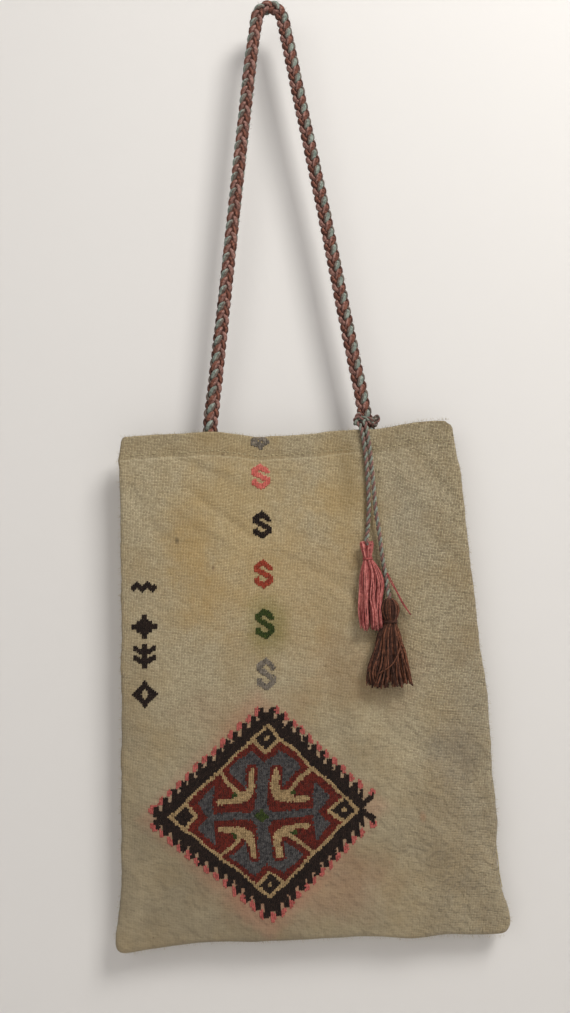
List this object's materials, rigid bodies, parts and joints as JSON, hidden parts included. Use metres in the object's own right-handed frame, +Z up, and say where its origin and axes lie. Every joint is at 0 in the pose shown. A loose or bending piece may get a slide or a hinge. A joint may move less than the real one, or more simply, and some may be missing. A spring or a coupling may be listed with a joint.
{
  "type": "shoulder bag",
  "caption": "Handwoven kilim shoulder bag of undyed cloth with S hooks and a hooked diamond medallion, hanging from a braided yarn strap with tassels.",
  "frame": {"origin": "the inside top of the strap's loop, where the bag hangs on a hook or a shoulder", "axes": "+Z up along the hanging strap, -Y out of the stitched front, +X to the right seen from the front"},
  "size_m": [0.3566, 0.0414, 0.9446],
  "materials": {
    "undyed_cloth": "matt",
    "sewing_thread": "matt",
    "strap_yarn": "matt",
    "turquoise_yarn": "matt",
    "tassel_pink_yarn": "matt",
    "tassel_brown_yarn": "matt",
    "dark_brown_yarn": "matt",
    "pink_yarn": "matt",
    "rust_yarn": "matt",
    "red_yarn": "matt",
    "green_yarn": "matt",
    "grey_mauve_yarn": "matt",
    "blue_grey_yarn": "matt",
    "cream_yarn": "matt"
  },
  "bodies": {
    "root": {"bag_cloth": "undyed_cloth", "hem_thread_front": "sewing_thread", "hem_thread_back": "sewing_thread", "side_seam_thread_left": "sewing_thread", "side_seam_thread_right": "sewing_thread", "strap_braid": "strap_yarn", "strap_tack_left": "sewing_thread", "strap_tack_right": "sewing_thread", "tail_knot": "strap_yarn", "tail_cord_pink": "turquoise_yarn", "tail_cord_brown": "turquoise_yarn", "tassel_pink": "tassel_pink_yarn", "tassel_pink_binding": "tassel_pink_yarn", "tassel_brown": "tassel_brown_yarn", "tassel_brown_binding": "tassel_brown_yarn", "hook_1": "grey_mauve_yarn", "hook_2": "pink_yarn", "hook_3": "dark_brown_yarn", "hook_4": "rust_yarn", "hook_5": "green_yarn", "hook_6": "grey_mauve_yarn", "mark_1": "dark_brown_yarn", "mark_2": "dark_brown_yarn", "mark_3": "dark_brown_yarn", "mark_4": "dark_brown_yarn", "medallion_pink_edge": "pink_yarn", "medallion_dark_border": "dark_brown_yarn", "medallion_cream_frame": "cream_yarn", "medallion_red_field": "red_yarn", "medallion_blue_cross": "blue_grey_yarn", "medallion_green_centre": "green_yarn", "corner_diamond_top": "dark_brown_yarn", "corner_diamond_right": "dark_brown_yarn", "corner_diamond_bottom": "dark_brown_yarn", "corner_diamond_left": "dark_brown_yarn"}
  },
  "joints": []
}
